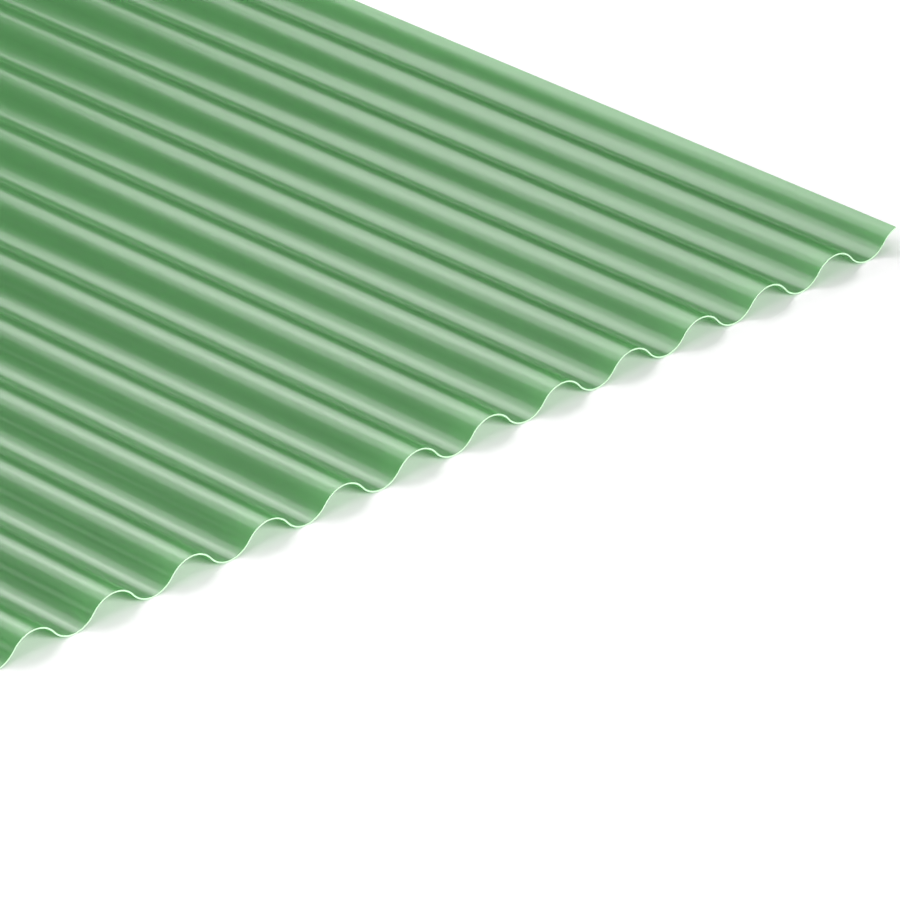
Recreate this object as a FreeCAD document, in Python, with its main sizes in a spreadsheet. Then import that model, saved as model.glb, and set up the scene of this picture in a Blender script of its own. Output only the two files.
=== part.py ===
"""Corrugated PVC sheet: one extruded piece, a wave-shaped web of even thickness, cut square at both ends.

Frame: X across the waves, Y along them, Z up. The origin is on the floor, under the middle of the sheet.
The section is made of crest arcs and trough arcs of one radius, which meet tangentially half way up.
Whole waves are drawn crest to crest, and both long edges are then slit to the overall width, which
leaves each of them rising and just short of a crest's top, ready for a neighbouring sheet to lap it.
"""

import FreeCAD
import Part
import Sketcher

import math
import os

# Driving dimensions, in millimetres: alias, value, what it is.
DIMENSIONS = [
    ("sheet_width", 900.0, "overall width, long edge to long edge"),
    ("sheet_length", 2000.0, "overall length, cut end to cut end"),
    ("wave_pitch", 70.0, "crest to crest"),
    ("wave_depth", 18.0, "underside of a trough to the top of a crest"),
    ("wall", 1.2, "thickness of the web"),
    ("slitter_margin", 10.0, "how far the slitting cuts run past the unslit sheet"),
]

# The document's own expressions for what follows from those cells.
WAVE_COUNT = "ceil(<<dimensions>>.sheet_width / <<dimensions>>.wave_pitch)"
HALF_BLANK = f"{WAVE_COUNT} * <<dimensions>>.wave_pitch / 2"
FIRST_TROUGH = f"({WAVE_COUNT} - 1) * <<dimensions>>.wave_pitch / 2"

# Point positions on a sketch curve, and a sketch's own origin and axis.
START, END, CENTRE = 1, 2, 3
ORIGIN = (-1, 1)
X_AXIS = -1


def add_dimensions(doc):
    """The spreadsheet that holds every driving dimension under its alias."""
    cells = doc.addObject("Spreadsheet::Sheet", "dimensions")
    cells.Label = "dimensions"
    for row, (alias, value, meaning) in enumerate(DIMENSIONS, start=1):
        cells.set(f"A{row}", alias)
        cells.set(f"B{row}", str(value))
        cells.set(f"C{row}", meaning)
        cells.setAlias(f"B{row}", alias)
    doc.recompute()
    return cells


def cell(name):
    """A cell of that spreadsheet, as a length in an expression."""
    return f"<<dimensions>>.{name} * 1 mm"


def new_sketch(body, name, plane_role):
    """An empty sketch of the body on one of its own origin planes."""
    plane = next(p for p in body.Origin.OriginFeatures if p.Role == plane_role)
    sketch = body.newObject("Sketcher::SketchObject", name)
    sketch.AttachmentSupport = [(plane, "")]
    sketch.MapMode = "FlatFace"
    return sketch


def constrain(sketch, kind, *ends):
    """A geometric constraint."""
    sketch.addConstraint(Sketcher.Constraint(kind, *ends))


def dimension(sketch, name, kind, ends, drawn, expression):
    """A named dimension: it starts at the size drawn, and follows the expression."""
    index = sketch.addConstraint(Sketcher.Constraint(kind, *ends, drawn))
    sketch.renameConstraint(index, name)
    sketch.setExpression(f"Constraints.{name}", expression)


def add_arc(sketch, centre, radius, span):
    """An arc, counter-clockwise over a span of two angles in radians."""
    circle = Part.Circle(centre, FreeCAD.Vector(0, 0, 1), radius)
    return sketch.addGeometry(Part.ArcOfCircle(circle, *span))


def draw_wave(body, size):
    """The closed section of one whole wave: from a crest's top, through a trough, to the next crest's top."""
    sketch = new_sketch(body, "wave_section", "XZ_Plane")

    # Where the arcs start out. Each bend's centre line has the same radius, and the upper and the
    # lower face of a bend lie half a wall to either side of it.
    half_pitch = size.wave_pitch / 2
    amplitude = (size.wave_depth - size.wall) / 2
    bend = ((half_pitch / 2) ** 2 + amplitude**2) / (2 * amplitude)
    outer = bend + size.wall / 2
    inner = bend - size.wall / 2
    wave_count = math.ceil(size.sheet_width / size.wave_pitch)
    trough_x = -(wave_count - 1) * half_pitch
    crest_z = size.wave_depth / 2 + amplitude - bend
    trough_z = size.wave_depth / 2 - amplitude + bend
    left = FreeCAD.Vector(trough_x - half_pitch, crest_z, 0)
    right = FreeCAD.Vector(trough_x + half_pitch, crest_z, 0)
    middle = FreeCAD.Vector(trough_x, trough_z, 0)

    # How far above the horizontal a crest's centre sees its arc begin.
    lean = math.atan2(bend - amplitude, half_pitch / 2)
    left_span = (lean, math.pi / 2)
    right_span = (math.pi / 2, math.pi - lean)
    trough_span = (math.pi + lean, 2 * math.pi - lean)

    upper_left = add_arc(sketch, left, outer, left_span)
    upper_trough = add_arc(sketch, middle, inner, trough_span)
    upper_right = add_arc(sketch, right, outer, right_span)
    lower_left = add_arc(sketch, left, inner, left_span)
    lower_trough = add_arc(sketch, middle, outer, trough_span)
    lower_right = add_arc(sketch, right, inner, right_span)
    closing_lines = []
    for centre in (left, right):
        top = FreeCAD.Vector(centre.x, size.wave_depth, 0)
        under = FreeCAD.Vector(centre.x, size.wave_depth - size.wall, 0)
        closing_lines.append(sketch.addGeometry(Part.LineSegment(top, under)))
    closing_left, closing_right = closing_lines
    foot = sketch.addGeometry(Part.Point(FreeCAD.Vector(trough_x, 0, 0)))

    # Along each face the arcs run smoothly into each other.
    constrain(sketch, "Tangent", upper_left, START, upper_trough, START)
    constrain(sketch, "Tangent", upper_trough, END, upper_right, END)
    constrain(sketch, "Tangent", lower_left, START, lower_trough, START)
    constrain(sketch, "Tangent", lower_trough, END, lower_right, END)
    # A bend's two faces share a centre, and its upper and lower radii swap over in the next bend.
    constrain(sketch, "Coincident", upper_left, CENTRE, lower_left, CENTRE)
    constrain(sketch, "Coincident", upper_trough, CENTRE, lower_trough, CENTRE)
    constrain(sketch, "Coincident", upper_right, CENTRE, lower_right, CENTRE)
    constrain(sketch, "Equal", upper_left, lower_trough)
    constrain(sketch, "Equal", upper_right, lower_trough)
    # The wave starts and ends straight above the crests' centres.
    for line, upper, upper_top, lower, lower_top in (
        (closing_left, upper_left, END, lower_left, END),
        (closing_right, upper_right, START, lower_right, START),
    ):
        constrain(sketch, "Coincident", line, START, upper, upper_top)
        constrain(sketch, "Coincident", line, END, lower, lower_top)
        constrain(sketch, "Vertical", line)
        constrain(sketch, "Vertical", upper, CENTRE, upper, upper_top)
    # Both crests are equally high, and the trough's underside touches the floor between them.
    constrain(sketch, "Horizontal", upper_left, CENTRE, upper_right, CENTRE)
    constrain(sketch, "PointOnObject", foot, START, lower_trough)
    constrain(sketch, "Vertical", foot, START, lower_trough, CENTRE)
    constrain(sketch, "PointOnObject", foot, START, X_AXIS)

    crests = (upper_left, CENTRE, upper_right, CENTRE)
    dimension(sketch, "pitch", "DistanceX", crests, size.wave_pitch, cell("wave_pitch"))
    top = (*ORIGIN, upper_left, END)
    dimension(sketch, "depth", "DistanceY", top, size.wave_depth, cell("wave_depth"))
    dimension(sketch, "wall", "Distance", (closing_left,), size.wall, cell("wall"))
    place = (foot, START, *ORIGIN)
    dimension(sketch, "first_trough", "DistanceX", place, -trough_x, f"{FIRST_TROUGH} * 1 mm")
    return sketch


def extrude_waves(body, section):
    """The section run out to the sheet's length, then repeated side by side across the sheet."""
    wave = body.newObject("PartDesign::Pad", "wave")
    wave.Profile = section
    wave.SideType = "Symmetric"
    wave.setExpression("Length", cell("sheet_length"))

    waves = body.newObject("PartDesign::LinearPattern", "waves")
    waves.Originals = [wave]
    waves.Direction = (section, ["H_Axis"])
    waves.Mode = "Spacing"
    waves.setExpression("Offset", cell("wave_pitch"))
    waves.setExpression("Occurrences", WAVE_COUNT)
    body.Tip = waves


def add_cut_outline(sketch, side, near, far, reach):
    """A rectangle that covers the sheet's margin on one side (-1 left, 1 right), from near to far across
    the sheet and past both ends of it. Its sizes follow the dimensions."""
    corners = [
        FreeCAD.Vector(side * x, y, 0)
        for x, y in ((near, -reach), (far, -reach), (far, reach), (near, reach))
    ]
    lines = [
        sketch.addGeometry(Part.LineSegment(corners[i], corners[(i + 1) % len(corners)]))
        for i in range(len(corners))
    ]
    for i, line in enumerate(lines):
        constrain(sketch, "Coincident", line, END, lines[(i + 1) % len(lines)], START)
        constrain(sketch, "Horizontal" if i % 2 == 0 else "Vertical", line)

    name = "left" if side < 0 else "right"
    margin = "<<dimensions>>.slitter_margin"
    across = {
        "edge": (START, near, "<<dimensions>>.sheet_width / 2 * 1 mm"),
        "outside": (END, far, f"({HALF_BLANK} + {margin}) * 1 mm"),
    }
    for label, (end, drawn, expression) in across.items():
        ends = (*ORIGIN, lines[0], end) if side > 0 else (lines[0], end, *ORIGIN)
        dimension(sketch, f"{name}_{label}", "DistanceX", ends, drawn, expression)
    past_end = f"(<<dimensions>>.sheet_length / 2 + {margin}) * 1 mm"
    dimension(sketch, f"{name}_front", "DistanceY", (lines[0], START, *ORIGIN), reach, past_end)
    dimension(sketch, f"{name}_back", "DistanceY", (*ORIGIN, lines[2], START), reach, past_end)


def slit_edges(body, size):
    """Cuts both margins off, straight down, which leaves the overall width."""
    sketch = new_sketch(body, "slitting_cuts", "XY_Plane")
    near = size.sheet_width / 2
    far = math.ceil(size.sheet_width / size.wave_pitch) * size.wave_pitch / 2 + size.slitter_margin
    reach = size.sheet_length / 2 + size.slitter_margin
    for side in (-1, 1):
        add_cut_outline(sketch, side, near, far, reach)

    slit = body.newObject("PartDesign::Pocket", "slit")
    slit.Profile = sketch
    slit.SideType = "Symmetric"
    slit.Type = "ThroughAll"
    body.Tip = slit


def check(doc, body, size):
    """Stops the build if any object failed, or if the body isn't the one solid that the sizes describe."""
    for item in doc.Objects:
        failed = {"Invalid", "Error"} & set(item.State)
        if failed:
            raise RuntimeError(f"{item.Label} is {', '.join(sorted(failed))}")
    for sketch in doc.findObjects("Sketcher::SketchObject"):
        if not sketch.FullyConstrained:
            raise RuntimeError(f"sketch {sketch.Label} isn't fully constrained")
    shape = body.Shape
    if shape.isNull() or not shape.isValid() or len(shape.Solids) != 1:
        raise RuntimeError(f"{body.Label} isn't one valid solid")
    box = shape.BoundBox
    for name, built, wanted in (
        ("width", box.XLength, size.sheet_width),
        ("length", box.YLength, size.sheet_length),
    ):
        if abs(built - wanted) > 0.01:
            raise RuntimeError(f"the {name} is {built:.3f} and should be {wanted:.3f}")


def main():
    doc = FreeCAD.newDocument("corrugated_sheet")
    size = add_dimensions(doc)

    body = doc.addObject("PartDesign::Body", "corrugated_sheet")
    body.Label = "corrugated_sheet"
    body.Placement = FreeCAD.Placement()
    section = draw_wave(body, size)
    extrude_waves(body, section)
    slit_edges(body, size)
    doc.recompute()
    check(doc, body, size)

    os.makedirs("parts", exist_ok=True)
    body.Shape.exportStep(f"parts/{body.Label}.step")
    print(f"{body.Label}: {body.Shape.Volume / 1000:.1f} cm3, {len(body.Shape.Faces)} faces")


main()
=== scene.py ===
"""The looks of a corrugated PVC sheet: green, satin and slightly translucent, lying on a white studio floor.

Metres, in the row's frame: X across the waves, Y along them, Z up from the floor that the troughs rest on.
"""

import math

import bpy
import numpy as np
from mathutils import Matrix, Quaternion, Vector


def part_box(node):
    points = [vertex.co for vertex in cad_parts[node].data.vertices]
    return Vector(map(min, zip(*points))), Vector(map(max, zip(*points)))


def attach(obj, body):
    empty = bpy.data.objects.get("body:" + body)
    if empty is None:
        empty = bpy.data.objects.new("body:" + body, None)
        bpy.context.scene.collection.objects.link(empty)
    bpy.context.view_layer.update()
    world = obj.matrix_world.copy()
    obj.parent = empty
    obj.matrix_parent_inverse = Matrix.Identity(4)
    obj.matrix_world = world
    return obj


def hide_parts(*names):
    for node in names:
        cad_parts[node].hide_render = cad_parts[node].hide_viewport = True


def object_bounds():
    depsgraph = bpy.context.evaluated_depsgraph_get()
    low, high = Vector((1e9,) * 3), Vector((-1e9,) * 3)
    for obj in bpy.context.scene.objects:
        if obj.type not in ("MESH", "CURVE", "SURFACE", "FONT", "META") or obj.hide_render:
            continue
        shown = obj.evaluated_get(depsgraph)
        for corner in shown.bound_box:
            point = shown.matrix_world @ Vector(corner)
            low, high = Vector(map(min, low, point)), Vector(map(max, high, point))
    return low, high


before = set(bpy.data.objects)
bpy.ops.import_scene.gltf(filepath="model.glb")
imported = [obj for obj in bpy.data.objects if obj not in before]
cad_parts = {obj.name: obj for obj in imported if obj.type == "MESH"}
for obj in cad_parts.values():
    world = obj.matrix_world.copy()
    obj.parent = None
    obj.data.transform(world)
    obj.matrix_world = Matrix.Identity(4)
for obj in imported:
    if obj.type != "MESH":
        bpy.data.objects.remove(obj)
cad_low, cad_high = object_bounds()

NODE = "corrugated_sheet"

# The sheet's section, as the CAD model has it. The overall sizes are read from the frame.
PITCH = 0.070
WALL = 0.0012

# How finely the new mesh follows it.
STEPS_PER_BEND = 20
ROWS = 48
EDGE_ROUNDING = 0.00015
SHARP_ANGLE = math.radians(40)


# ---------------------------------------------------------------- the sheet's mesh


def bend_points(centre_x, crest, radius, depth_centre, angles):
    """Points of one bend's arc, at angles measured from its top (a crest) or its bottom (a trough)."""
    side = 1 if crest else -1
    x = centre_x + radius * np.sin(angles)
    z = depth_centre + side * radius * np.cos(angles)
    return np.stack([x, z], axis=1)


def section_face(width, depth, upper):
    """One face of the sheet's section, from the left edge to the right, as (x, z) points. Crests and troughs
    are arcs about centres that both faces share, and meet tangentially half way up."""
    amplitude = (depth - WALL) / 2
    bend = ((PITCH / 4) ** 2 + amplitude**2) / (2 * amplitude)
    reach = math.asin(PITCH / 4 / bend)
    crest_centre = depth / 2 + amplitude - bend
    trough_centre = depth / 2 - amplitude + bend
    half_waves = 2 * math.ceil(width / PITCH)
    points = []
    for i in range(half_waves + 1):
        crest = i % 2 == 0
        centre_x = (i - half_waves / 2) * PITCH / 2
        outside = crest == upper
        radius = bend + WALL / 2 if outside else bend - WALL / 2
        low = max(-reach, slit_angle(-width / 2, centre_x, radius))
        high = min(reach, slit_angle(width / 2, centre_x, radius))
        angles = np.linspace(low, high, STEPS_PER_BEND + 1)
        arc = bend_points(centre_x, crest, radius, crest_centre if crest else trough_centre, angles)
        points.append(arc if i == 0 else arc[1:])
    return np.concatenate(points)


def slit_angle(x, centre_x, radius):
    """The angle at which an arc reaches the slit edge at x, or a right angle where it doesn't."""
    return math.asin(max(-1.0, min(1.0, (x - centre_x) / radius)))


def sheet_faces(count, columns):
    """The mesh's faces, and for each whether it is on a cut end or a slit edge. A row of points is one loop
    around the section: its top face from left to right, and its lower face back."""
    faces, cut = [], []
    for row in range(ROWS):
        for i in range(count):
            a, b = row * count + i, row * count + (i + 1) % count
            faces.append((a, b, b + count, a + count))
            cut.append(i in (columns - 1, count - 1))
    last = ROWS * count
    for i in range(columns - 1):
        under = count - 1 - i
        faces.append((i, under, under - 1, i + 1))
        faces.append((last + i, last + i + 1, last + under - 1, last + under))
        cut += [True, True]
    return faces, cut


def round_edges(sheet):
    rounding = sheet.modifiers.new("edge_rounding", "BEVEL")
    rounding.width = EDGE_ROUNDING
    rounding.segments = 2
    rounding.limit_method = "ANGLE"
    rounding.angle_limit = SHARP_ANGLE
    rounding.harden_normals = True


def build_sheet():
    """The whole sheet as one closed mesh. Its second material is for the cut ends and the slit edges."""
    low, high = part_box(NODE)
    width, depth = high.x - low.x, high.z - low.z
    centre_x = (low.x + high.x) / 2
    top = section_face(width, depth, upper=True)
    under = section_face(width, depth, upper=False)
    loop = np.concatenate([top, under[::-1]])
    stations = np.linspace(low.y, high.y, ROWS + 1)
    points = [(centre_x + x, y, low.z + z) for y in stations for x, z in loop]
    faces, cut = sheet_faces(len(loop), len(top))

    mesh = bpy.data.meshes.new("pvc_sheet")
    mesh.from_pydata(points, [], faces)
    mesh.polygons.foreach_set("material_index", np.array(cut, dtype=np.int32))
    mesh.shade_smooth()
    mesh.set_sharp_from_angle(angle=SHARP_ANGLE)
    mesh.validate()
    sheet = bpy.data.objects.new("pvc_sheet", mesh)
    bpy.context.scene.collection.objects.link(sheet)
    round_edges(sheet)
    return sheet


# ---------------------------------------------------------------- materials


class Nodes:
    """A material's node tree, with its shader, and short ways to add nodes to it."""

    def __init__(self, name):
        self.material = bpy.data.materials.new(name)
        self.material.use_nodes = True
        self.tree = self.material.node_tree
        self.shader = self.tree.nodes["Principled BSDF"]
        self.output = self.tree.nodes["Material Output"]

    def add(self, kind, **settings):
        node = self.tree.nodes.new(kind)
        for name, value in settings.items():
            setattr(node, name, value)
        return node

    def link(self, source, target):
        self.tree.links.new(source, target)

    def constant(self, socket, value):
        """Sets one of the shader's own sockets, where a value is the same all over the surface."""
        self.shader.inputs[socket].default_value = value

    def stretched_noise(self, scale, detail, seed):
        """Noise in the object's own coordinates, with a scale for each axis in features per metre."""
        place = self.add("ShaderNodeTexCoord")
        mapping = self.add("ShaderNodeMapping")
        mapping.inputs["Location"].default_value = (seed, seed / 3, -seed)
        mapping.inputs["Scale"].default_value = scale
        noise = self.add("ShaderNodeTexNoise")
        noise.inputs["Scale"].default_value = 1.0
        noise.inputs["Detail"].default_value = detail
        self.link(place.outputs["Object"], mapping.inputs["Vector"])
        self.link(mapping.outputs["Vector"], noise.inputs["Vector"])
        return noise.outputs["Fac"]

    def spread(self, value, low, high, start=0.3, end=0.7):
        """A value brought from start..end to low..high, and kept inside them."""
        reach = self.add("ShaderNodeMapRange")
        reach.inputs["From Min"].default_value = start
        reach.inputs["From Max"].default_value = end
        reach.inputs["To Min"].default_value = low
        reach.inputs["To Max"].default_value = high
        self.link(value, reach.inputs["Value"])
        return reach.outputs["Result"]

    def colours(self, value, *stops):
        """A colour ramp with evenly spread stops."""
        ramp = self.add("ShaderNodeValToRGB")
        while len(ramp.color_ramp.elements) < len(stops):
            ramp.color_ramp.elements.new(0.5)
        for i, (element, colour) in enumerate(zip(ramp.color_ramp.elements, stops)):
            element.position = i / (len(stops) - 1)
            element.color = (*colour, 1)
        self.link(value, ramp.inputs["Fac"])
        return ramp.outputs["Color"]

    def bump(self, height, distance):
        bump = self.add("ShaderNodeBump")
        bump.inputs["Distance"].default_value = distance
        self.link(height, bump.inputs["Height"])
        return bump.outputs["Normal"]

    def math_step(self, operation, first, second):
        step = self.add("ShaderNodeMath", operation=operation)
        self.link(first, step.inputs[0])
        self.link(second, step.inputs[1])
        return step.outputs[0]

    def vector_step(self, operation, vector, other=(0, 0, 0)):
        step = self.add("ShaderNodeVectorMath", operation=operation)
        self.link(vector, step.inputs[0])
        step.inputs[1].default_value = other
        return step

    def distance_outside(self, half_size):
        """How far a place lies outside a box of that half size around the origin."""
        place = self.add("ShaderNodeTexCoord")
        folded = self.vector_step("ABSOLUTE", place.outputs["Object"])
        over = self.vector_step("SUBTRACT", folded.outputs["Vector"], half_size)
        outside = self.vector_step("MAXIMUM", over.outputs["Vector"])
        return self.vector_step("LENGTH", outside.outputs["Vector"]).outputs["Value"]

    def let_light_through(self, share, colour):
        """Makes the surface scatter a share of its light on to its other side, tinted."""
        through = self.add("ShaderNodeBsdfTranslucent")
        through.inputs["Color"].default_value = (*colour, 1)
        both = self.add("ShaderNodeMixShader")
        both.inputs["Fac"].default_value = share
        self.link(self.shader.outputs["BSDF"], both.inputs[1])
        self.link(through.outputs["BSDF"], both.inputs[2])
        self.link(both.outputs["Shader"], self.output.inputs["Surface"])


# The share of the light that each of the sheet's two faces passes on. It takes gloss away, and an index of
# refraction over PVC's own gives it back.
TRANSLUCENCY = 0.45
GLOSSY_IOR = 1.85
PVC_IOR = 1.54

DIE_LINE_HEIGHT = 0.000004
SAW_MARK_HEIGHT = 0.00002


def pvc_material():
    """Green extruded PVC: satin, with fine die lines along the waves, and light passing through it."""
    nodes = Nodes("green_pvc")
    die_lines = nodes.stretched_noise((900, 0.6, 900), detail=3, seed=2.0)
    patches = nodes.stretched_noise((9, 2.5, 9), detail=4, seed=11.0)
    colour = nodes.colours(nodes.spread(patches, 0, 1), (0.145, 0.290, 0.149), (0.158, 0.318, 0.162))
    nodes.link(colour, nodes.shader.inputs["Base Color"])
    nodes.link(nodes.spread(die_lines, 0.19, 0.22), nodes.shader.inputs["Roughness"])
    nodes.link(nodes.bump(die_lines, DIE_LINE_HEIGHT), nodes.shader.inputs["Normal"])
    nodes.constant("IOR", GLOSSY_IOR)
    nodes.let_light_through(TRANSLUCENCY, (0.5, 1.0, 0.5))
    return nodes.material


def cut_edge_material():
    """The sawn ends and slit edges: the same PVC, matt, with saw marks, and pale: partly scuffed, partly a
    painted glow of the light that the sheet carries to its cut.
    """
    nodes = Nodes("cut_pvc")
    marks = nodes.stretched_noise((700, 700, 2500), detail=2, seed=5.0)
    # Painted glow: these pale colours stand partly for light carried through the sheet and out at its cut,
    # and partly for scuffing.
    colour = nodes.colours(nodes.spread(marks, 0, 1), (0.56, 0.84, 0.56), (0.62, 0.90, 0.62))
    nodes.link(colour, nodes.shader.inputs["Base Color"])
    nodes.link(nodes.spread(marks, 0.45, 0.6), nodes.shader.inputs["Roughness"])
    nodes.link(nodes.bump(marks, SAW_MARK_HEIGHT), nodes.shader.inputs["Normal"])
    nodes.constant("IOR", PVC_IOR)
    return nodes.material


def floor_material(sheet_half_size):
    """White studio paper. The camera, and what mirrors or passes its light, sees it brighter than it is
    lit: a little beside the sheet, where it keeps the shadow, and a lot further out, where it is white."""
    nodes = Nodes("floor_paper")
    grain = nodes.stretched_noise((60, 60, 60), detail=3, seed=1.0)
    colour = nodes.colours(nodes.spread(grain, 0, 1), (0.90, 0.90, 0.90), (0.92, 0.92, 0.92))
    nodes.link(colour, nodes.shader.inputs["Base Color"])
    nodes.constant("Roughness", 0.9)
    nodes.constant("Specular IOR Level", 0.0)
    nodes.constant("Emission Color", (1, 1, 1, 1))
    path = nodes.add("ShaderNodeLightPath")
    seen = nodes.math_step("MAXIMUM", path.outputs["Is Camera Ray"], path.outputs["Is Glossy Ray"])
    seen = nodes.math_step("MAXIMUM", seen, path.outputs["Is Transmission Ray"])
    away = nodes.distance_outside(sheet_half_size)
    lift = nodes.spread(away, FLOOR_LIFT, FLOOR_LIFT_AWAY, start=SHADOW_REACH, end=WHITE_FROM)
    nodes.link(nodes.math_step("MULTIPLY", seen, lift), nodes.shader.inputs["Emission Strength"])
    return nodes.material


# ---------------------------------------------------------------- studio

FLOOR_HALF_SIZE = 14.0

# How much brighter the floor looks than it is lit, beside the sheet and away from it, and between which
# distances from the sheet's outline it changes.
FLOOR_LIFT = 0.03
FLOOR_LIFT_AWAY = 1.0
SHADOW_REACH = 0.006
WHITE_FROM = 0.3

# A row of softboxes that hang over the sheet, each turned a little: where the first one is, the step to the
# next, and how bright each is.
KEY_START = (-0.06, 0.39)
KEY_STEP = (0.64, 0.22)
KEY_HEIGHT = 1.8
KEY_SIZE = (0.66, 1.25)
KEY_TURN = 19
KEY_RADIANCES = (3.3, 5.3, 1.9, 0.7, 1.0)

# The long lens. It aims at the middle of the near cut end, off by these steps, from this far away.
CAMERA_AZIMUTH = -45
CAMERA_ELEVATION = 28
CAMERA_DISTANCE = 4.83
AIM_X = -0.0080
AIM_Y = -0.0037
LENS = 284.1
SENSOR = 36.0


def build_floor(low, high):
    """A wide floor under the sheet, which is centred on the origin and reaches to high."""
    level = low.z
    s = FLOOR_HALF_SIZE
    corners = [(-s, -s, level), (s, -s, level), (s, s, level), (-s, s, level)]
    mesh = bpy.data.meshes.new("studio_floor")
    mesh.from_pydata(corners, [], [(0, 1, 2, 3)])
    mesh.materials.append(floor_material(tuple(high)))
    floor = bpy.data.objects.new("studio_floor", mesh)
    bpy.context.scene.collection.objects.link(floor)


def softbox(name, centre, aim, size, radiance, turn=0):
    """A rectangular lamp with a given radiance, so that its strength doesn't change with its size."""
    data = bpy.data.lights.new(name, "AREA")
    data.shape = "RECTANGLE"
    data.size, data.size_y = size
    data.energy = radiance * math.pi * size[0] * size[1]
    lamp = bpy.data.objects.new(name, data)
    lamp.location = centre
    lamp.rotation_mode = "QUATERNION"
    facing = (Vector(aim) - Vector(centre)).to_track_quat("-Z", "Y")
    lamp.rotation_quaternion = facing @ Quaternion((0, 0, 1), math.radians(turn))
    lamp.visible_camera = False
    bpy.context.scene.collection.objects.link(lamp)


def around(azimuth, elevation, distance=1.0):
    """A place around the origin: azimuth 0 is in front of the near cut end, 90 on its right."""
    a, e = math.radians(azimuth), math.radians(elevation)
    return Vector((math.sin(a) * math.cos(e), -math.cos(a) * math.cos(e), math.sin(e))) * distance


def build_lights():
    """A row of softboxes over the sheet makes the light bands along its waves. The ones around it light the
    floor, the cut end and the flanks."""
    for i, radiance in enumerate(KEY_RADIANCES):
        x = KEY_START[0] + i * KEY_STEP[0]
        y = KEY_START[1] + i * KEY_STEP[1]
        softbox(f"key_{i + 1}", (x, y, KEY_HEIGHT), (x, y, 0), KEY_SIZE, radiance, turn=KEY_TURN)
    softbox("key_tail", (-0.95, 0.45, KEY_HEIGHT), (-0.95, 0.45, 0), (1.1, 1.3), 0.6)
    softbox("overhead", (-0.5, -1.0, KEY_HEIGHT), (-0.4, -1.0, 0), (1.4, 0.9), 1.9)
    softbox("back", around(135, 45, 4.0), (0, 0, 0), (1.6, 1.6), 2.6)
    softbox("front", around(352, 21, 4.2), (0, -0.75, 0), (1.9, 1.6), 12.0)
    softbox("front_left", around(310, 45, 4.0), (0, -0.7, 0), (1.6, 1.6), 2.0)
    softbox("left", around(240, 25, 4.5), (0, 0, 0), (2.4, 1.6), 2.2)


def build_world():
    """White behind everything, for the camera alone, so that it lights nothing."""
    world = bpy.data.worlds.new("studio")
    world.use_nodes = True
    tree = world.node_tree
    background = tree.nodes["Background"]
    background.inputs["Color"].default_value = (1, 1, 1, 1)
    path = tree.nodes.new("ShaderNodeLightPath")
    tree.links.new(path.outputs["Is Camera Ray"], background.inputs["Strength"])
    bpy.context.scene.world = world


def build_camera(low, depth):
    """A long lens from the front left, which looks down on the near cut end."""
    aim = Vector((AIM_X, low.y + AIM_Y, depth / 2))
    back = around(CAMERA_AZIMUTH, CAMERA_ELEVATION)
    data = bpy.data.cameras.new("camera")
    data.sensor_width = SENSOR
    data.lens = LENS
    data.clip_start, data.clip_end = 0.1, 60.0
    camera = bpy.data.objects.new("camera", data)
    camera.location = aim + back * CAMERA_DISTANCE
    camera.rotation_mode = "QUATERNION"
    camera.rotation_quaternion = (-back).to_track_quat("-Z", "Y")
    bpy.context.scene.collection.objects.link(camera)
    bpy.context.scene.camera = camera


# ---------------------------------------------------------------- the scene

scene = bpy.context.scene
scene.view_settings.view_transform = "Standard"

sheet = build_sheet()
sheet.data.materials.append(pvc_material())
sheet.data.materials.append(cut_edge_material())
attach(sheet, "root")
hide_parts(NODE)

build_floor(cad_low, cad_high)
build_lights()
build_world()
build_camera(cad_low, cad_high.z - cad_low.z)
